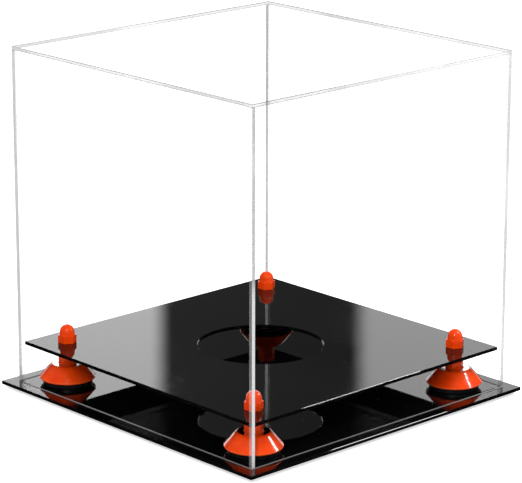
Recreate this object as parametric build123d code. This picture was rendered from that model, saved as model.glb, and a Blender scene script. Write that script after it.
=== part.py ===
from build123d import *

import os
from math import radians, tan

# Display case for one round exhibit: a black base plate, a raised platform with a round seat hole,
# four turned risers that carry the platform, and a clear five-sided cover that lifts straight off.
# Millimetres, +Z up, +X to the right, -Y to the front.
# The origin is on the surface that the case stands on, under the centre of the base.

# Base plate; its margin is what shows outside the cover, and makes it 304.8 wide
base_margin = 10.4
base_thickness = 3.0
edge_break = 0.3

# Clear cover
cover_side = 284.0
cover_height = 284.0
cover_wall = 3.0

# Platform that the exhibit sits in; its edge also keeps the cover in its place
platform_clearance = 0.8
platform_thickness = 3.0
seat_radius = 52.0
seat_edge_break = 0.5

# Risers: distance of their axes from the inside of the cover, and height from base to platform
riser_inset = 25.7
riser_height = 31.75

# Rubber foot ring of a riser
foot_radius = 20.5
foot_step = 4.1
foot_seat_depth = 1.6
foot_seat_clearance = 0.1
foot_chamfer = 0.6

# Enamelled cone of a riser
rim_radius = 23.2
rim_height = 5.5
lip_inset = 0.9
shoulder_radius = 14.9
shoulder_height = 15.5
cone_height = 16.8
cone_land = 0.3

# Polished washer let into the top of the cone
washer_radius = 12.7
washer_thickness = 1.0
washer_clearance = 0.15

# Hexagonal spacer between washer and platform
spacer_flats = 13.2
spacer_flare_radius = 8.0
spacer_flare_height = 2.2

# Through bolt and cap nut
bolt_radius = 4.0
bolt_length = 45.0
bolt_tip_chamfer = 0.8
bolt_head_radius = 7.0
bolt_head_height = 2.2
bolt_head_dome = 0.7
bolt_socket_flats = 5.0
bolt_socket_depth = 1.3
hole_clearance = 0.25
thread_clearance = 0.04
nut_flats = 13.4
nut_hex_height = 6.5
nut_dome_foot_radius = 6.45
nut_dome_radius = 6.1
nut_height = 15.0
nut_tip_gap = 1.2
hex_chamfer_angle = 30.0

# Bumpers that the case stands on
bumper_radius = 6.5
bumper_tip_radius = 5.2
bumper_height = 3.2
bumper_from_riser = 21.1
bumper_edge_radius = 0.5

# Heights worked out from the bottom up
base_bottom = bumper_height
base_top = base_bottom + base_thickness
washer_seat = base_top + cone_height - washer_thickness
spacer_bottom = base_top + cone_height
platform_bottom = base_top + riser_height
platform_top = platform_bottom + platform_thickness
cover_top = base_top + cover_height

# Widths and places worked out from the pieces they fit
base_side = cover_side + 2 * base_margin
cover_inside = cover_side - 2 * cover_wall
platform_side = cover_inside - 2 * platform_clearance
hole_radius = bolt_radius + hole_clearance
riser_offset = cover_inside / 2 - riser_inset
bumper_offset = riser_offset + bumper_from_riser

CORNERS = {
    "front_left": (-1, -1),
    "front_right": (1, -1),
    "rear_right": (1, 1),
    "rear_left": (-1, 1),
}


def at_corner(solid, corner, offset):
    """Move a piece made on the Z axis to one corner of the case."""
    side_x, side_y = CORNERS[corner]
    return Pos(side_x * offset, side_y * offset, 0) * solid


def turned(points):
    """Revolve a closed outline of (radius, height) points round the Z axis."""
    outline = make_face(Polyline(*points, close=True))
    return revolve(Plane.XZ * outline, Axis.Z)


def upright(radius, bottom, top):
    """Cylinder on the Z axis from one height to another."""
    return Pos(0, 0, (bottom + top) / 2) * Cylinder(radius, top - bottom)


def hexagon_bar(flats, bottom, top):
    """Hexagonal bar on the Z axis, with two of its flats facing front and back."""
    section = RegularPolygon(flats / 2, 6, major_radius=False)
    return extrude(Pos(0, 0, bottom) * section, top - bottom)


def chamfered_hexagon(flats, bottom, top):
    """Hexagonal bar whose upper corners are trimmed by a cone that just touches its flats."""
    drop = flats / 2 * tan(radians(hex_chamfer_angle))
    trim = turned([(0, bottom), (flats, bottom), (flats, top - drop), (flats / 2, top), (0, top)])
    return hexagon_bar(flats, bottom, top) & trim


def plate(side, bottom, thickness):
    """Square plate with its upper and lower outline edges broken."""
    sheet = Pos(0, 0, bottom + thickness / 2) * Box(side, side, thickness)
    faces = [sheet.faces().sort_by(Axis.Z)[0], sheet.faces().sort_by(Axis.Z)[-1]]
    return chamfer([edge for face in faces for edge in face.edges()], edge_break)


def base_plate():
    sheet = plate(base_side, base_bottom, base_thickness)
    for corner in CORNERS:
        sheet -= at_corner(upright(hole_radius, base_bottom, base_top), corner, riser_offset)
    return sheet


def platform():
    sheet = plate(platform_side, platform_bottom, platform_thickness)
    for corner in CORNERS:
        hole = upright(hole_radius, platform_bottom, platform_top)
        sheet -= at_corner(hole, corner, riser_offset)
    seat = turned([
        (0, platform_bottom),
        (seat_radius + seat_edge_break, platform_bottom),
        (seat_radius, platform_bottom + seat_edge_break),
        (seat_radius, platform_top - seat_edge_break),
        (seat_radius + seat_edge_break, platform_top),
        (0, platform_top),
    ])
    return sheet - seat


def riser_foot():
    """Rubber ring that stands on the base plate and fills the recess under the cone."""
    top = base_top + foot_step + foot_seat_depth
    return turned([
        (hole_radius, base_top),
        (foot_radius - foot_chamfer, base_top),
        (foot_radius, base_top + foot_chamfer),
        (foot_radius, top),
        (hole_radius, top),
    ])


def riser_cone():
    """Bell-shaped body: rounded rim, straight flank, rounded shoulder and a seat for the washer."""
    lip = base_top + foot_step
    recess_top = lip + foot_seat_depth
    recess_radius = foot_radius + foot_seat_clearance
    rim = (rim_radius, base_top + rim_height)
    shoulder = (shoulder_radius, base_top + shoulder_height)
    land = washer_radius + washer_clearance
    crown = (land + cone_land, base_top + cone_height)
    flank = (shoulder[0] - rim[0], shoulder[1] - rim[1])
    under_rim = Line((recess_radius, lip), (rim_radius - lip_inset, lip))
    rim_round = TangentArc((rim_radius - lip_inset, lip), rim, tangent=(1, 0.15))
    side = Line(rim, shoulder)
    shoulder_round = TangentArc(shoulder, crown, tangent=flank)
    inside = Polyline(
        crown,
        (land, base_top + cone_height),
        (land, washer_seat),
        (hole_radius, washer_seat),
        (hole_radius, recess_top),
        (recess_radius, recess_top),
        (recess_radius, lip),
    )
    outline = make_face([under_rim, rim_round, side, shoulder_round, inside])
    return revolve(Plane.XZ * outline, Axis.Z)


def riser_washer():
    return upright(washer_radius, washer_seat, spacer_bottom) - upright(
        hole_radius, washer_seat, spacer_bottom
    )


def riser_spacer():
    """Hexagonal column with a round flared foot, drilled for the bolt."""
    column = chamfered_hexagon(spacer_flats, spacer_bottom, platform_bottom)
    flare = turned([
        (0, spacer_bottom),
        (spacer_flare_radius, spacer_bottom),
        (spacer_flats / 2, spacer_bottom + spacer_flare_height),
        (0, spacer_bottom + spacer_flare_height),
    ])
    return column + flare - upright(hole_radius, spacer_bottom, platform_bottom)


def cap_nut():
    """Hexagon with chamfered corners under a round-topped dome, with a blind hole from below."""
    hex_top = platform_top + nut_hex_height
    dome_centre = platform_top + nut_height - nut_dome_radius
    hexagon = chamfered_hexagon(nut_flats, platform_top, hex_top)
    dome_side = Polyline(
        (0, dome_centre),
        (0, platform_top),
        (nut_dome_foot_radius, platform_top),
        (nut_dome_foot_radius, hex_top),
        (nut_dome_radius, dome_centre),
    )
    dome_top = CenterArc((0, dome_centre), nut_dome_radius, 0, 90)
    dome_close = Line((0, dome_centre + nut_dome_radius), (0, dome_centre))
    dome = revolve(Plane.XZ * make_face([dome_side, dome_top, dome_close]), Axis.Z)
    hole_top = base_bottom + bolt_length + nut_tip_gap
    drilled = turned([
        (0, platform_top),
        (bolt_radius + thread_clearance, platform_top),
        (bolt_radius + thread_clearance, hole_top),
        (0, hole_top + nut_tip_gap),
    ])
    return hexagon + dome - drilled


def through_bolt():
    """Low round head with a hexagon socket under the base, and a plain shank up into the nut."""
    head_bottom = base_bottom - bolt_head_height
    tip = base_bottom + bolt_length
    body = turned([
        (0, head_bottom),
        (bolt_head_radius - bolt_head_dome, head_bottom),
        (bolt_head_radius, head_bottom + bolt_head_dome),
        (bolt_head_radius, base_bottom),
        (bolt_radius, base_bottom),
        (bolt_radius, tip - bolt_tip_chamfer),
        (bolt_radius - bolt_tip_chamfer, tip),
        (0, tip),
    ])
    socket = hexagon_bar(bolt_socket_flats, head_bottom, head_bottom + bolt_socket_depth)
    return body - socket


def bumper():
    """Tapered rubber pad with a rounded lower edge."""
    pad = turned([
        (0, 0),
        (bumper_tip_radius, 0),
        (bumper_radius, base_bottom),
        (0, base_bottom),
    ])
    return fillet(pad.edges().sort_by(Axis.Z)[0], bumper_edge_radius)


def cover_panes():
    """Top pane over four walls; front and back run the full width, the sides fit between them."""
    wall_height = cover_height - cover_wall
    wall_centre = base_top + wall_height / 2
    reach = (cover_side - cover_wall) / 2
    wide = Box(cover_side, cover_wall, wall_height)
    narrow = Box(cover_wall, cover_inside, wall_height)
    return {
        "cover_top": Pos(0, 0, cover_top - cover_wall / 2) * Box(cover_side, cover_side, cover_wall),
        "cover_front": Pos(0, -reach, wall_centre) * wide,
        "cover_back": Pos(0, reach, wall_centre) * wide,
        "cover_left": Pos(-reach, 0, wall_centre) * narrow,
        "cover_right": Pos(reach, 0, wall_centre) * narrow,
    }


RISER_PIECES = {
    "riser_foot": riser_foot,
    "riser_cone": riser_cone,
    "riser_washer": riser_washer,
    "riser_spacer": riser_spacer,
    "cap_nut": cap_nut,
    "through_bolt": through_bolt,
}

nodes = {"base_plate": base_plate(), "platform": platform()}
for piece, make in RISER_PIECES.items():
    for corner in CORNERS:
        nodes[f"{piece}_{corner}"] = at_corner(make(), corner, riser_offset)
for corner in CORNERS:
    nodes[f"bumper_{corner}"] = at_corner(bumper(), corner, bumper_offset)
nodes.update(cover_panes())

os.makedirs("parts", exist_ok=True)
for name, solid in nodes.items():
    export_step(solid, f"parts/{name}.step")
    print(name, round(solid.volume, 1))
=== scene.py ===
import math

import bpy
from mathutils import Matrix, Vector


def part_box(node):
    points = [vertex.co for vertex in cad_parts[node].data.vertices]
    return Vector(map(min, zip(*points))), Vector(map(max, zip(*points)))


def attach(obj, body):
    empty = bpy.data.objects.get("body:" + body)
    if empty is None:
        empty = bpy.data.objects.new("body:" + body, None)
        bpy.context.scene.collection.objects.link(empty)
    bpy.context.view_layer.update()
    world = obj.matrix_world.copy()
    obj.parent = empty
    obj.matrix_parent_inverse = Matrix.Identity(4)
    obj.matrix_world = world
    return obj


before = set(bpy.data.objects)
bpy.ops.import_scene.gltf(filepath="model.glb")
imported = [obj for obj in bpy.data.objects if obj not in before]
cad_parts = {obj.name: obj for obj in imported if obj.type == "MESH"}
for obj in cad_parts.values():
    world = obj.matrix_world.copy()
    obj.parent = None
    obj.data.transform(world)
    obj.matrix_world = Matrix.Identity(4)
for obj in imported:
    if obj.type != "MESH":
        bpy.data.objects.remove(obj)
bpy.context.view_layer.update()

MM = 0.001
CORNERS = ("front_left", "front_right", "rear_right", "rear_left")
PANES = ("cover_top", "cover_front", "cover_back", "cover_left", "cover_right")

# Places read from the frame
BASE_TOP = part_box("base_plate")[1].z
CONE_LOW, CONE_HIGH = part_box("riser_cone_front_right")
RISER_AXIS = (CONE_LOW.x + CONE_HIGH.x) / 2
RIM_RADIUS = (CONE_HIGH.x - CONE_LOW.x) / 2
FRONT_PANE_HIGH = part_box("cover_front")[1]
SIDE_PANE_LOW, SIDE_PANE_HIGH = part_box("cover_left")
COVER_HALF = FRONT_PANE_HIGH.x
COVER_CEILING = FRONT_PANE_HIGH.z
COVER_WALL = SIDE_PANE_HIGH.x - SIDE_PANE_LOW.x
COVER_INSIDE = COVER_HALF - COVER_WALL
COVER_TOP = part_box("cover_top")[1].z

# Camera, found by fitting the case's corners to the picture
PICTURE_WIDTH_PX = 522
FOCAL_LENGTH_PX = 2664.5
SENSOR_WIDTH_MM = 36.0
VIEW_AZIMUTH = 46.81
VIEW_ELEVATION = 15.91
VIEW_ROLL = 0.115
VIEW_DISTANCE = 2.1792
AIM_ABOVE_BASE = 0.1228
AIM_SIDEWAYS = 0.0002
CLIP_NEAR = 0.05
CLIP_FAR = 50.0

# Lamps: angles in degrees from the camera, sizes in metres, power in watts
TALL_STRIP = {
    "angle_right": -6, "elevation": 41, "distance": 2.2, "width": 0.11, "height": 1.6, "power": 19,
}
CLOSE_LAMP = {
    "angle_right": 87, "elevation": 37, "distance": 0.5, "width": 0.09, "height": 0.13, "power": 0.7,
}

# Room: even light on paint, two backdrops and a dark gap between them in reflections
SKY_TO_PAINT = 0.9
BACKDROP_LEFT = 2.1
BACKDROP_RIGHT = 1.45
BACKDROP_GAP = 0.04
BACKDROP_REACH = 36
BACKDROP_FULL_SHARE = 0.8
ROOM_IN_GLOSS = 0.01
GAP_HALF_WIDTH = 1.9
GAP_SOFTNESS = 0.5

# Floor
FLOOR_SIZE = 12.0
FLOOR_WHITE = (0.93, 0.93, 0.93)
FLOOR_SHADE = (0.9207, 0.9207, 0.9207)
FLOOR_IN_GLOSS = (0.01, 0.01, 0.01)
FLOOR_ROUGHNESS = 0.9
FLOOR_GLOW = 0.6
GLOW_WHITE = (1.0, 1.0, 1.0)

# Colours of the finishes, as linear light
BLACK_PLAIN = (0.0012, 0.0012, 0.0014)
BLACK_HAZED = (0.0026, 0.0026, 0.003)
BLACK_SPECKED = (0.25, 0.25, 0.24)
# The next six colours are painted light on the cover's cut edges: the glow that clear sheet gathers
# and sends out there, grey where it is dim and white where it is bright, with painted grey lines
# along the roof rim and a painted bright line at the foot.
EDGE_CLEAR = (0.20, 0.203, 0.207)
EDGE_LIT_PAINTED = (0.54, 0.55, 0.55)
EDGE_LIT_PAINTED_PALE = (0.62, 0.62, 0.62)
ROOF_LINE_GREY = (0.40, 0.40, 0.41)
FOOT_LINE_CLEAR = (0.50, 0.50, 0.50)
FOOT_LINE_LIT = (0.34, 0.34, 0.34)
ORANGE_DEEP = (0.76, 0.045, 0.0015)
ORANGE_BRIGHT = (0.86, 0.062, 0.003)
ORANGE_THIN = (0.88, 0.14, 0.03)
METAL_UNDER_CHIP = (0.32, 0.30, 0.29)
RUBBER_DARK = (0.003, 0.0045, 0.006)
RUBBER_LIGHT = (0.007, 0.009, 0.012)
RUBBER_DUSTY = (0.16, 0.16, 0.17)
STEEL_CLEAN = (0.82, 0.82, 0.82)
STEEL_STAINED = (0.70, 0.69, 0.67)
ZINC_COOL = (0.52, 0.54, 0.58)
ZINC_WARM = (0.66, 0.65, 0.60)
CEMENT_DULL = (0.72, 0.73, 0.73)
CEMENT_WHITE = (0.90, 0.90, 0.90)

# How strongly each surface mirrors: refractive indices, and the share left to paint under lacquer
ACRYLIC_IOR = 1.49
CEMENT_IOR = 1.45
LACQUER_IOR = 1.5
UNDERCOAT_SPECULAR = 0.15

# Roughness at the smoothest and the roughest place of each finish
BLACK_ROUGHNESS = (0.012, 0.04)
FROST_ROUGHNESS = (0.22, 0.4)
ENAMEL_ROUGHNESS = (0.2, 0.32)
RUBBER_ROUGHNESS = (0.34, 0.55)
STEEL_ROUGHNESS = (0.06, 0.15)
ZINC_ROUGHNESS = (0.22, 0.4)
CEMENT_ROUGHNESS = (0.12, 0.3)
LACQUER_ROUGHNESS = 0.03
PANE_ROUGHNESS = 0.01

# How far wear changes a finish, from 0 for not at all to 1
BLACK_SPECK_TINTS = 0.5
BLACK_SPECK_ROUGHENS = 0.3
BLACK_SCRATCH_ROUGHENS = 0.16
RIM_TINTS = 0.35
CHIP_TINTS = 0.8
CHIP_ROUGHENS = 0.3
RUBBER_DUST_TINTS = 0.06

# Parts of the range that a noise takes: its middle, and nearly all of it
MIDDLE = (0.35, 0.65)
NEARLY_ALL = (0.3, 0.7)

# Where painted light is drawn on the cover's edges; a pair gives where each starts and where it is
# full
EDGE_SKIN = 0.1 * MM
INNER_FACE = (COVER_INSIDE - EDGE_SKIN, COVER_INSIDE)
OUTER_FACE = (COVER_HALF - 2 * EDGE_SKIN, COVER_HALF - EDGE_SKIN)
ROOF_UNDERSIDE = (COVER_CEILING - EDGE_SKIN, COVER_CEILING + EDGE_SKIN)
ROOF_UPPER_LINE = (COVER_TOP - 1.1 * MM, COVER_TOP - 0.5 * MM)
ROOF_LOWER_LINE = (COVER_CEILING + 1.0 * MM, COVER_CEILING + 0.4 * MM)
OUTER_SKIN = (COVER_HALF - 0.5 * MM, COVER_HALF - 0.3 * MM)
FOOT_LINE = (BASE_TOP + 0.9 * MM, BASE_TOP + 0.5 * MM)
FOOT_TONE = (BASE_TOP + 1.2 * MM, BASE_TOP + 0.8 * MM)

# How solid the painted light on the cover's edges and the wear on its panes look, from 0 for clear
# to 1 for solid
UPPER_LINE_SHOWS = 0.85
LOWER_LINE_SHOWS = 0.7
RIM_SHOWS_CLEAR = 0.45
SAWN_END_SHOWS_CLEAR = 0.6
EDGE_SHOWS_LIT = 0.97
JOINT_SHOWS_CLEAR = 0.3
JOINT_SHOWS_LIT = 0.26
FOOT_LINE_SHOWS = 0.75
ROOF_LINE_TINT = 0.7
PANE_HAIRS_SHOW = 0.05
PANE_DUST_SHOWS = 0.1

# Mirror of a clear pane: full strength at a glance, how fast it fades, and layers seen through
PANE_GLANCE = 0.15
PANE_GLANCE_POWER = 5.0
PANE_GLANCE_BLEND = 0.5
CLEAR_LAYERS = 40

# Cement thread in the inside corners of the cover
BEAD_RADIUS = 0.3 * MM
BEAD_OFFSET = 0.32 * MM
BEAD_END_GAP = 1.5 * MM
BEAD_STEP = 2.5 * MM
BEAD_SIDES = 6
BEAD_THINNEST = 0.55
BEAD_WAVES_PER_METRE = 160
DROP_SHARE = 0.04
DROP_SMALLEST = 0.9
DROP_LARGEST = 1.25
DROP_ROUNDS = 2
DROP_SEED = 11
BEAD_INPUTS = {
    "Radius": "NodeSocketFloat",
    "Step": "NodeSocketFloat",
    "Drop Share": "NodeSocketFloat",
    "Seed": "NodeSocketInt",
    "Material": "NodeSocketMaterial",
}


def rgba(colour):
    """A colour with full opacity, as colour sockets take it."""
    return (*colour, 1.0)


class Nodes:
    """A node tree, with short ways to add nodes and join them."""

    def __init__(self, tree):
        self.tree = tree

    def add(self, kind, **settings):
        node = self.tree.nodes.new(kind)
        for key, value in settings.items():
            setattr(node, key, value)
        return node

    def join(self, value, socket):
        """Put a link or a plain value into a socket."""
        if isinstance(value, bpy.types.NodeSocket):
            self.tree.links.new(value, socket)
        else:
            socket.default_value = value

    def math(self, operation, first, second=0.0, clamp=False):
        node = self.add("ShaderNodeMath", operation=operation, use_clamp=clamp)
        self.join(first, node.inputs[0])
        self.join(second, node.inputs[1])
        return node.outputs[0]

    def along(self, operation, values):
        """One operation from the first value through all the others."""
        result = values[0]
        for value in values[1:]:
            result = self.math(operation, result, value)
        return result

    def product(self, *values):
        return self.along("MULTIPLY", values)

    def total(self, *values):
        return self.along("ADD", values)

    def highest(self, *values):
        return self.along("MAXIMUM", values)

    def fit(self, value, low, high, out_low=0.0, out_high=1.0):
        """Map a range to another, with a soft start and end."""
        node = self.add("ShaderNodeMapRange", interpolation_type="SMOOTHSTEP")
        self.join(value, node.inputs["Value"])
        self.join(low, node.inputs["From Min"])
        self.join(high, node.inputs["From Max"])
        self.join(out_low, node.inputs["To Min"])
        self.join(out_high, node.inputs["To Max"])
        return node.outputs[0]

    def lerp(self, share, first, second):
        """Mix two numbers."""
        node = self.add("ShaderNodeMix", data_type="FLOAT")
        self.join(share, node.inputs[0])
        self.join(first, node.inputs[2])
        self.join(second, node.inputs[3])
        return node.outputs[0]

    def dot(self, first, second):
        node = self.add("ShaderNodeVectorMath", operation="DOT_PRODUCT")
        self.join(first, node.inputs[0])
        self.join(second, node.inputs[1])
        return node.outputs["Value"]


class Recipe(Nodes):
    """A material's node tree, with textures, places on the case and shaders."""

    def __init__(self, name):
        self.material = bpy.data.materials.new(name)
        self.material.use_nodes = True
        super().__init__(self.material.node_tree)
        self.tree.nodes.clear()
        self.output = self.add("ShaderNodeOutputMaterial")

    def place(self):
        """Object coordinates, in metres."""
        return self.add("ShaderNodeTexCoord").outputs["Object"]

    def folded_place(self):
        """Distances from the two middle planes of the case, and the height."""
        split = self.add("ShaderNodeSeparateXYZ")
        self.join(self.place(), split.inputs[0])
        wide = self.math("ABSOLUTE", split.outputs[0])
        deep = self.math("ABSOLUTE", split.outputs[1])
        return wide, deep, split.outputs[2]

    def riser_radius(self):
        """Distance from the axis of the nearest riser, by folding the case into one quarter."""
        wide, deep, _ = self.folded_place()
        flat = self.add("ShaderNodeCombineXYZ")
        self.join(self.math("SUBTRACT", wide, RISER_AXIS), flat.inputs[0])
        self.join(self.math("SUBTRACT", deep, RISER_AXIS), flat.inputs[1])
        node = self.add("ShaderNodeVectorMath", operation="LENGTH")
        self.join(flat.outputs[0], node.inputs[0])
        return node.outputs["Value"]

    def stretch(self, vector, scale, turn=(0, 0, 0)):
        node = self.add("ShaderNodeMapping")
        self.join(vector, node.inputs["Vector"])
        self.join(scale, node.inputs["Scale"])
        self.join(turn, node.inputs["Rotation"])
        return node.outputs[0]

    def noise(self, vector, per_metre, detail=2.0, roughness=0.5):
        node = self.add("ShaderNodeTexNoise")
        self.join(vector, node.inputs["Vector"])
        self.join(per_metre, node.inputs["Scale"])
        self.join(detail, node.inputs["Detail"])
        self.join(roughness, node.inputs["Roughness"])
        return node.outputs["Fac"]

    def hairs(self, vector, scale, turn, low, high):
        """Hairlines: a noise drawn out along one direction, of which only the peaks are kept."""
        drawn = self.stretch(vector, scale, turn)
        return self.fit(self.noise(drawn, per_metre=1, detail=1), low, high)

    def specks(self, vector, per_metre, reach):
        """Dots in the middles of cells; reach gives where a dot ends and where it is full."""
        node = self.add("ShaderNodeTexVoronoi")
        self.join(vector, node.inputs["Vector"])
        self.join(per_metre, node.inputs["Scale"])
        return self.fit(node.outputs["Distance"], *reach)

    def blend(self, share, first, second):
        """Mix two colours."""
        node = self.add("ShaderNodeMix", data_type="RGBA")
        self.join(share, node.inputs[0])
        self.join(rgba(first) if isinstance(first, tuple) else first, node.inputs[6])
        self.join(rgba(second) if isinstance(second, tuple) else second, node.inputs[7])
        return node.outputs[2]

    def bump(self, height, strength, depth, under=None):
        node = self.add("ShaderNodeBump")
        self.join(height, node.inputs["Height"])
        self.join(strength, node.inputs["Strength"])
        self.join(depth, node.inputs["Distance"])
        if under is not None:
            self.join(under, node.inputs["Normal"])
        return node.outputs[0]

    def surface(self, **sockets):
        """Principled surface; a name such as Base_Color stands for the socket Base Color."""
        node = self.add("ShaderNodeBsdfPrincipled")
        for name, value in sockets.items():
            self.join(value, node.inputs[name.replace("_", " ")])
        return node.outputs[0]

    def mix_shaders(self, share, first, second):
        node = self.add("ShaderNodeMixShader")
        self.join(share, node.inputs[0])
        self.join(first, node.inputs[1])
        self.join(second, node.inputs[2])
        return node.outputs[0]

    def finish(self, shader):
        self.join(shader, self.output.inputs["Surface"])
        return self.material


def black_acrylic():
    """Deep black cast sheet: mirror gloss, faint haze, hairline scratches and a few dust specks."""
    r = Recipe("black_acrylic_sheet")
    place = r.place()
    haze = r.noise(place, per_metre=9, detail=3)
    hairs = r.highest(
        r.hairs(place, scale=(40, 2600, 300), turn=(0, 0, 0.5), low=0.74, high=0.8),
        r.hairs(place, scale=(2900, 55, 300), turn=(0, 0, -0.35), low=0.75, high=0.81),
    )
    scratches = r.product(hairs, r.fit(r.noise(place, per_metre=22), low=0.5, high=0.66))
    specks = r.product(
        r.specks(place, per_metre=240, reach=(0.09, 0.04)),
        r.fit(r.noise(place, per_metre=70), low=0.6, high=0.7),
    )
    colour = r.blend(r.fit(haze, *MIDDLE), BLACK_PLAIN, BLACK_HAZED)
    colour = r.blend(r.product(specks, BLACK_SPECK_TINTS), colour, BLACK_SPECKED)
    rough = r.total(
        r.fit(haze, *NEARLY_ALL, *BLACK_ROUGHNESS),
        r.product(scratches, BLACK_SCRATCH_ROUGHENS),
        r.product(specks, BLACK_SPECK_ROUGHENS),
    )
    wave = r.bump(r.noise(place, per_metre=14, detail=1), strength=0.012, depth=2 * MM)
    normal = r.bump(scratches, strength=0.06, depth=0.05 * MM, under=wave)
    return r.finish(r.surface(Base_Color=colour, Roughness=rough, IOR=ACRYLIC_IOR, Normal=normal))


def roof_rim(r, spot, roof, lines, painted_lit_share):
    """Painted light on the cut edge of the roof pane, with two painted grey lines where it is clear.
    """
    wide, deep, _ = spot
    on_rim = r.highest(r.fit(wide, *OUTER_FACE), r.fit(deep, *OUTER_FACE))
    shows = r.lerp(painted_lit_share, r.highest(lines, RIM_SHOWS_CLEAR), EDGE_SHOWS_LIT)
    return r.product(on_rim, roof, shows)


def corner_columns(r, place, spot, roof, painted_lit_share):
    """Painted light on the sawn ends of the front and back panes, and on the joint seen through
    them, drawn in the same painted edge tones.
    """
    wide, deep, _ = spot
    below_roof = r.math("SUBTRACT", 1.0, roof)
    column = r.product(r.fit(wide, *INNER_FACE), r.fit(deep, *INNER_FACE), below_roof)
    end_shows = r.lerp(painted_lit_share, SAWN_END_SHOWS_CLEAR, EDGE_SHOWS_LIT)
    joint_shows = r.lerp(painted_lit_share, JOINT_SHOWS_CLEAR, JOINT_SHOWS_LIT)
    streaks = r.noise(r.stretch(place, scale=(900, 900, 60)), per_metre=1, detail=3)
    return r.highest(
        r.product(column, r.fit(wide, *OUTER_FACE), end_shows),
        r.product(column, joint_shows, r.fit(streaks, *MIDDLE, out_low=0.8, out_high=1.0)),
    )


def foot_line(r, spot):
    """Thin bright line at the foot of the walls, where light gathers."""
    wide, deep, height = spot
    outside = r.highest(r.fit(wide, *OUTER_SKIN), r.fit(deep, *OUTER_SKIN))
    return r.product(r.fit(height, *FOOT_LINE), outside, FOOT_LINE_SHOWS)


def pane_wear(r, place):
    """Hairline scratches and dust, too faint to veil what stands inside."""
    hairs = r.hairs(place, scale=(35, 2400, 2100), turn=(0.4, 0.2, 0.7), low=0.74, high=0.84)
    rubbed = r.fit(r.noise(place, per_metre=18), low=0.5, high=0.7)
    specks = r.specks(place, per_metre=330, reach=(0.06, 0.03))
    settled = r.fit(r.noise(place, per_metre=60), low=0.55, high=0.7)
    return r.highest(
        r.product(hairs, rubbed, PANE_HAIRS_SHOW),
        r.product(specks, settled, PANE_DUST_SHOWS),
    )


def painted_light_edge(r, place, height, roof, lines, painted_lit_share):
    """Shader of the edges: painted light, white in the brightly lit stretches and grey in the clear
    ones, over a frosted grain.
    """
    lit_edge_tone = r.blend(r.noise(place, per_metre=500), EDGE_LIT_PAINTED, EDGE_LIT_PAINTED_PALE)
    lit_edge_tone = r.blend(r.product(lines, roof, ROOF_LINE_TINT), lit_edge_tone, ROOF_LINE_GREY)
    tone = r.blend(painted_lit_share, EDGE_CLEAR, lit_edge_tone)
    foot_tone = r.blend(painted_lit_share, FOOT_LINE_CLEAR, FOOT_LINE_LIT)
    tone = r.blend(r.fit(height, *FOOT_TONE), tone, foot_tone)
    rough = r.fit(r.noise(place, per_metre=240), *NEARLY_ALL, *FROST_ROUGHNESS)
    frost = r.bump(r.noise(place, per_metre=1400), strength=0.2, depth=0.05 * MM)
    return r.surface(Base_Color=tone, Roughness=rough, IOR=ACRYLIC_IOR, Normal=frost)


def clear_sheet(r, place):
    """Shader of a clear face: see-through face on, with a mirror that grows at a glance."""
    facing = r.add("ShaderNodeLayerWeight")
    r.join(PANE_GLANCE_BLEND, facing.inputs["Blend"])
    glance = r.product(r.math("POWER", facing.outputs["Facing"], PANE_GLANCE_POWER), PANE_GLANCE)
    sheen = r.add("ShaderNodeBsdfGlossy")
    r.join(PANE_ROUGHNESS, sheen.inputs["Roughness"])
    ripple = r.bump(r.noise(place, per_metre=11, detail=1), strength=0.01, depth=2 * MM)
    r.join(ripple, sheen.inputs["Normal"])
    air = r.add("ShaderNodeBsdfTransparent")
    return r.mix_shaders(glance, air.outputs[0], sheen.outputs[0])


def clear_acrylic():
    """Clear sheet, whose edges carry painted light, bright in some stretches and water-clear in
    others.
    """
    r = Recipe("clear_acrylic_sheet")
    place = r.place()
    spot = r.folded_place()
    height = spot[2]
    roof = r.fit(height, *ROOF_UNDERSIDE)
    lines = r.highest(
        r.product(r.fit(height, *ROOF_UPPER_LINE), UPPER_LINE_SHOWS),
        r.product(r.fit(height, *ROOF_LOWER_LINE), LOWER_LINE_SHOWS),
    )
    # Painted light: the stretches of the edges that are drawn brightly lit, spread by a noise.
    painted_lit_share = r.fit(r.noise(place, per_metre=9, detail=1), low=0.4, high=0.56)
    edges = r.highest(
        roof_rim(r, spot, roof, lines, painted_lit_share),
        corner_columns(r, place, spot, roof, painted_lit_share),
        foot_line(r, spot),
    )
    # Painted edge light and the real wear of the panes together decide where the sheet is drawn
    # solid.
    shows = r.math("MAXIMUM", edges, pane_wear(r, place), clamp=True)
    painted_edge = painted_light_edge(r, place, height, roof, lines, painted_lit_share)
    return r.finish(r.mix_shaders(shows, clear_sheet(r, place), painted_edge))


def orange_enamel():
    """Thick glossy enamel: orange-peel skin, a thinner lighter coat on rims, small chips."""
    r = Recipe("orange_gloss_enamel")
    place = r.place()
    tone = r.fit(r.noise(place, per_metre=60, detail=3), *MIDDLE)
    rim = r.fit(r.riser_radius(), low=RIM_RADIUS - 0.8 * MM, high=RIM_RADIUS)
    chips = r.product(rim, r.fit(r.noise(place, per_metre=420), low=0.66, high=0.7))
    colour = r.blend(tone, ORANGE_DEEP, ORANGE_BRIGHT)
    colour = r.blend(r.product(rim, RIM_TINTS), colour, ORANGE_THIN)
    colour = r.blend(r.product(chips, CHIP_TINTS), colour, METAL_UNDER_CHIP)
    rough = r.total(
        r.fit(r.noise(place, per_metre=150), *NEARLY_ALL, *ENAMEL_ROUGHNESS),
        r.product(chips, CHIP_ROUGHENS),
    )
    peel = r.bump(r.noise(place, per_metre=750, detail=1), strength=0.05, depth=0.12 * MM)
    normal = r.bump(chips, strength=0.3, depth=-0.08 * MM, under=peel)
    return r.finish(r.surface(
        Base_Color=colour, Roughness=rough, Specular_IOR_Level=UNDERCOAT_SPECULAR, Normal=normal,
        Coat_Weight=1.0, Coat_Roughness=LACQUER_ROUGHNESS, Coat_IOR=LACQUER_IOR, Coat_Normal=peel,
    ))


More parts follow.
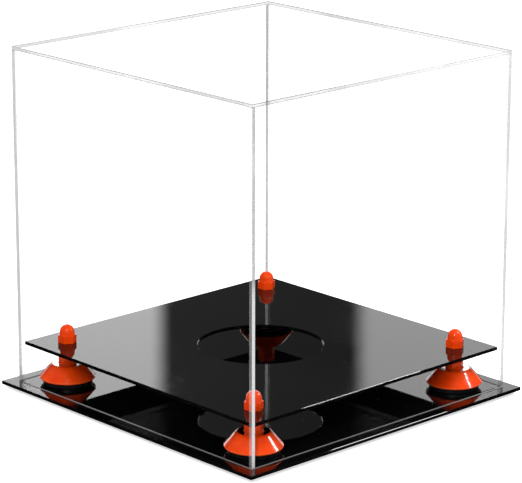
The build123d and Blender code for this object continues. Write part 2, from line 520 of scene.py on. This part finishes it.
def black_rubber():
    """Moulded rubber: fine grain, pale dust in patches and a slight cool sheen."""
    r = Recipe("black_moulded_rubber")
    place = r.place()
    grain = r.noise(place, per_metre=1600)
    dust = r.fit(r.noise(place, per_metre=130, detail=4, roughness=0.6), low=0.52, high=0.72)
    colour = r.blend(r.fit(grain, *NEARLY_ALL), RUBBER_DARK, RUBBER_LIGHT)
    colour = r.blend(r.product(dust, RUBBER_DUST_TINTS), colour, RUBBER_DUSTY)
    rough = r.fit(dust, 0.0, 1.0, *RUBBER_ROUGHNESS)
    normal = r.bump(grain, strength=0.12, depth=0.1 * MM)
    return r.finish(r.surface(Base_Color=colour, Roughness=rough, Normal=normal))


def polished_steel():
    """Turned and polished washer face: fine rings round the bolt over a bright mirror."""
    r = Recipe("polished_washer_steel")
    rings = r.noise(r.riser_radius(), per_metre=5200)
    stain = r.noise(r.place(), per_metre=190, detail=3)
    colour = r.blend(r.fit(stain, low=0.4, high=0.7), STEEL_CLEAN, STEEL_STAINED)
    rough = r.fit(stain, *NEARLY_ALL, *STEEL_ROUGHNESS)
    normal = r.bump(rings, strength=0.06, depth=0.03 * MM)
    return r.finish(r.surface(Base_Color=colour, Metallic=1.0, Roughness=rough, Normal=normal))


def zinc_steel():
    """Bright zinc plating with cloudy passivation and a faint forging grain."""
    r = Recipe("zinc_plated_steel")
    place = r.place()
    cloud = r.noise(place, per_metre=260, detail=3)
    colour = r.blend(r.fit(cloud, *MIDDLE), ZINC_COOL, ZINC_WARM)
    rough = r.fit(cloud, *NEARLY_ALL, *ZINC_ROUGHNESS)
    normal = r.bump(r.noise(place, per_metre=2400, detail=1), strength=0.1, depth=0.04 * MM)
    return r.finish(r.surface(Base_Color=colour, Metallic=1.0, Roughness=rough, Normal=normal))


def joint_cement():
    """Cured cement in the inside corners of the cover: a half-clear, slightly milky thread."""
    r = Recipe("cured_joint_cement")
    place = r.place()
    colour = r.blend(r.noise(place, per_metre=500), CEMENT_DULL, CEMENT_WHITE)
    rough = r.fit(r.noise(place, per_metre=900), *NEARLY_ALL, *CEMENT_ROUGHNESS)
    normal = r.bump(r.noise(place, per_metre=1500, detail=1), strength=0.3, depth=0.05 * MM)
    thread = r.surface(Base_Color=colour, Roughness=rough, IOR=CEMENT_IOR, Normal=normal)
    air = r.add("ShaderNodeBsdfTransparent")
    shows = r.fit(r.noise(place, per_metre=120), *MIDDLE, out_low=0.12, out_high=0.35)
    return r.finish(r.mix_shaders(shows, air.outputs[0], thread))


def floor_white():
    """White paper floor that glows a little to the eye and looks dark in reflections."""
    r = Recipe("studio_floor")
    paper = r.blend(r.noise(r.place(), per_metre=3), FLOOR_WHITE, FLOOR_SHADE)
    path = r.add("ShaderNodeLightPath").outputs
    colour = r.blend(path["Is Glossy Ray"], paper, FLOOR_IN_GLOSS)
    glow = r.product(path["Is Camera Ray"], FLOOR_GLOW)
    return r.finish(r.surface(
        Base_Color=colour, Roughness=FLOOR_ROUGHNESS, Specular_IOR_Level=0.0,
        Emission_Color=rgba(GLOW_WHITE), Emission_Strength=glow,
    ))


def dress(names, material):
    """Give CAD nodes their finished material."""
    for name in names:
        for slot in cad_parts[name].material_slots:
            slot.material = material


def every_corner(piece):
    return [f"{piece}_{corner}" for corner in CORNERS]


def bead_tree():
    """Node tree that turns lines into an uneven cement thread with a few swollen drops."""
    tree = bpy.data.node_groups.new("cement_thread", "GeometryNodeTree")
    face = tree.interface
    face.new_socket("Geometry", in_out="INPUT", socket_type="NodeSocketGeometry")
    for name, kind in BEAD_INPUTS.items():
        face.new_socket(name, in_out="INPUT", socket_type=kind)
    face.new_socket("Geometry", in_out="OUTPUT", socket_type="NodeSocketGeometry")
    g = Nodes(tree)
    given = g.add("NodeGroupInput").outputs

    # The lines, cut into short steps
    curve = g.add("GeometryNodeMeshToCurve")
    g.join(given["Geometry"], curve.inputs["Mesh"])
    stepped = g.add("GeometryNodeResampleCurve", mode="LENGTH")
    g.join(curve.outputs["Curve"], stepped.inputs["Curve"])
    g.join(given["Step"], stepped.inputs["Length"])

    # The thread, which swells and thins along the lines
    uneven = g.add("ShaderNodeTexNoise")
    g.join(BEAD_WAVES_PER_METRE, uneven.inputs["Scale"])
    swell = g.add("ShaderNodeMapRange")
    g.join(uneven.outputs["Fac"], swell.inputs["Value"])
    g.join(NEARLY_ALL[0], swell.inputs["From Min"])
    g.join(NEARLY_ALL[1], swell.inputs["From Max"])
    g.join(BEAD_THINNEST, swell.inputs["To Min"])
    g.join(1.0, swell.inputs["To Max"])
    ring = g.add("GeometryNodeCurvePrimitiveCircle", mode="RADIUS")
    g.join(BEAD_SIDES, ring.inputs["Resolution"])
    g.join(1.0, ring.inputs["Radius"])
    thread = g.add("GeometryNodeCurveToMesh")
    g.join(stepped.outputs["Curve"], thread.inputs["Curve"])
    g.join(g.product(swell.outputs[0], given["Radius"]), thread.inputs["Scale"])
    g.join(ring.outputs["Curve"], thread.inputs["Profile Curve"])
    g.join(True, thread.inputs["Fill Caps"])

    # The drops, at a few of the steps
    points = g.add("GeometryNodeCurveToPoints", mode="EVALUATED")
    g.join(stepped.outputs["Curve"], points.inputs["Curve"])
    chosen = g.add("FunctionNodeRandomValue", data_type="BOOLEAN")
    g.join(given["Drop Share"], chosen.inputs["Probability"])
    g.join(given["Seed"], chosen.inputs["Seed"])
    drop = g.add("GeometryNodeMeshIcoSphere")
    g.join(DROP_ROUNDS, drop.inputs["Subdivisions"])
    g.join(given["Radius"], drop.inputs["Radius"])
    size = g.add("FunctionNodeRandomValue", data_type="FLOAT")
    g.join(DROP_SMALLEST, size.inputs[2])
    g.join(DROP_LARGEST, size.inputs[3])
    g.join(given["Seed"], size.inputs["Seed"])
    drops = g.add("GeometryNodeInstanceOnPoints")
    g.join(points.outputs["Points"], drops.inputs["Points"])
    g.join(chosen.outputs[3], drops.inputs["Selection"])
    g.join(drop.outputs["Mesh"], drops.inputs["Instance"])
    g.join(size.outputs[1], drops.inputs["Scale"])

    # Both as one smooth mesh with its material
    both = g.add("GeometryNodeJoinGeometry")
    g.join(thread.outputs["Mesh"], both.inputs[0])
    g.join(drops.outputs["Instances"], both.inputs[0])
    real = g.add("GeometryNodeRealizeInstances")
    g.join(both.outputs[0], real.inputs[0])
    smooth = g.add("GeometryNodeSetShadeSmooth")
    g.join(real.outputs[0], smooth.inputs[0])
    painted = g.add("GeometryNodeSetMaterial")
    g.join(smooth.outputs[0], painted.inputs["Geometry"])
    g.join(given["Material"], painted.inputs["Material"])
    g.join(painted.outputs[0], g.add("NodeGroupOutput").inputs[0])
    return tree


def seam_lines():
    """The eight inside corners of the cover: four upright, then four under the roof."""
    out = COVER_INSIDE - BEAD_OFFSET
    low = BASE_TOP + BEAD_END_GAP
    high = COVER_CEILING - BEAD_OFFSET
    turns = ((-1, -1), (1, -1), (1, 1), (-1, 1))
    points = [(x * out, y * out, z) for z in (low, high) for x, y in turns]
    upright = [(k, 4 + k) for k in range(4)]
    under_roof = [(4 + k, 4 + (k + 1) % 4) for k in range(4)]
    mesh = bpy.data.meshes.new("seam_lines")
    mesh.from_pydata(points, upright + under_roof, [])
    lines = bpy.data.objects.new("seam_lines", mesh)
    bpy.context.scene.collection.objects.link(lines)
    return lines


def cement_threads(material):
    """Cement thread along the inside corners of the cover, as a plain mesh that rides with it."""
    lines = seam_lines()
    grower = lines.modifiers.new("grow", "NODES")
    grower.node_group = bead_tree()
    values = {
        "Radius": BEAD_RADIUS,
        "Step": BEAD_STEP,
        "Drop Share": DROP_SHARE,
        "Seed": DROP_SEED,
        "Material": material,
    }
    for socket in grower.node_group.interface.items_tree:
        if socket.name in values:
            grower[socket.identifier] = values[socket.name]
    bpy.context.view_layer.update()
    finished = lines.evaluated_get(bpy.context.evaluated_depsgraph_get())
    grown = bpy.data.meshes.new_from_object(finished)
    lines.modifiers.remove(grower)
    bpy.data.objects.remove(lines)
    thread = bpy.data.objects.new("cement_threads", grown)
    bpy.context.scene.collection.objects.link(thread)
    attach(thread, "cover")


def from_camera(angle_right, elevation):
    """Direction away from the case, by its angle to the right of the camera and its elevation."""
    around = math.radians(VIEW_AZIMUTH + angle_right)
    up = math.radians(elevation)
    return Vector((math.sin(around) * math.cos(up), -math.cos(around) * math.cos(up), math.sin(up)))


def make_camera():
    back = from_camera(0, VIEW_ELEVATION)
    level_right = Vector((0, 0, 1)).cross(back).normalized()
    level_up = back.cross(level_right)
    roll = math.radians(VIEW_ROLL)
    right = math.cos(roll) * level_right + math.sin(roll) * level_up
    up = back.cross(right)
    aim = Vector((0, 0, BASE_TOP + AIM_ABOVE_BASE)) + AIM_SIDEWAYS * level_right
    camera = bpy.data.objects.new("camera", bpy.data.cameras.new("camera"))
    camera.data.sensor_width = SENSOR_WIDTH_MM
    camera.data.lens = FOCAL_LENGTH_PX * SENSOR_WIDTH_MM / PICTURE_WIDTH_PX
    camera.data.clip_start = CLIP_NEAR
    camera.data.clip_end = CLIP_FAR
    turn = Matrix((right, up, back)).transposed().to_4x4()
    camera.matrix_world = Matrix.Translation(aim + back * VIEW_DISTANCE) @ turn
    bpy.context.scene.collection.objects.link(camera)
    bpy.context.scene.camera = camera


def soft_box(name, angle_right, elevation, distance, width, height, power):
    """Rectangular studio light that faces the middle of the case and isn't seen itself."""
    lamp = bpy.data.lights.new(name, "AREA")
    lamp.shape = "RECTANGLE"
    lamp.size = width
    lamp.size_y = height
    lamp.energy = power
    away = from_camera(angle_right, elevation)
    box = bpy.data.objects.new(name, lamp)
    turn = away.to_track_quat("Z", "Y").to_matrix().to_4x4()
    box.matrix_world = Matrix.Translation(away * distance) @ turn
    box.visible_camera = False
    bpy.context.scene.collection.objects.link(box)


def make_room():
    """Even light on paint; in gloss a dark room with two bright backdrops behind the case."""
    world = bpy.data.worlds.new("studio_room")
    bpy.context.scene.world = world
    world.use_nodes = True
    n = Nodes(world.node_tree)
    direction = n.add("ShaderNodeTexCoord").outputs["Generated"]
    toward_back = n.dot(direction, -from_camera(0, 0))
    toward_right = n.dot(direction, from_camera(90, 0))

    # Left backdrop, gap and right backdrop, and the end of both at their reach
    gap_start = math.sin(math.radians(GAP_HALF_WIDTH))
    gap_end = math.sin(math.radians(GAP_HALF_WIDTH + GAP_SOFTNESS))
    reach_end = math.cos(math.radians(BACKDROP_REACH))
    reach_full = math.cos(math.radians(BACKDROP_FULL_SHARE * BACKDROP_REACH))
    aside = n.math("ABSOLUTE", toward_right)
    backdrops = n.product(
        n.fit(toward_right, -gap_end, gap_end, BACKDROP_LEFT, BACKDROP_RIGHT),
        n.fit(aside, gap_start, gap_end, BACKDROP_GAP, 1.0),
        n.fit(toward_back, reach_end, reach_full, ROOM_IN_GLOSS, 1.0),
    )
    in_gloss = n.add("ShaderNodeLightPath").outputs["Is Glossy Ray"]
    sky = world.node_tree.nodes["Background"]
    n.join(rgba(GLOW_WHITE), sky.inputs["Color"])
    n.join(n.lerp(in_gloss, SKY_TO_PAINT, backdrops), sky.inputs["Strength"])


def make_floor():
    half = FLOOR_SIZE / 2
    corners = [(-half, -half, 0), (half, -half, 0), (half, half, 0), (-half, half, 0)]
    mesh = bpy.data.meshes.new("studio_floor")
    mesh.from_pydata(corners, [], [(0, 1, 2, 3)])
    mesh.materials.append(floor_white())
    floor = bpy.data.objects.new("studio_floor", mesh)
    bpy.context.scene.collection.objects.link(floor)


def set_exposure():
    """Plain film, and enough see-through layers for two panes and the threads behind each other."""
    view = bpy.context.scene.view_settings
    view.view_transform = "Standard"
    view.look = "None"
    view.exposure = 0.0
    bpy.context.scene.cycles.transparent_max_bounces = CLEAR_LAYERS


make_camera()
make_room()
soft_box("tall_strip", **TALL_STRIP)
soft_box("close_lamp", **CLOSE_LAMP)
make_floor()
set_exposure()

dress(("base_plate", "platform"), black_acrylic())
dress(PANES, clear_acrylic())
enamel = orange_enamel()
for piece in ("riser_cone", "riser_spacer", "cap_nut"):
    dress(every_corner(piece), enamel)
rubber = black_rubber()
for piece in ("riser_foot", "bumper"):
    dress(every_corner(piece), rubber)
dress(every_corner("riser_washer"), polished_steel())
dress(every_corner("through_bolt"), zinc_steel())
cement_threads(joint_cement())
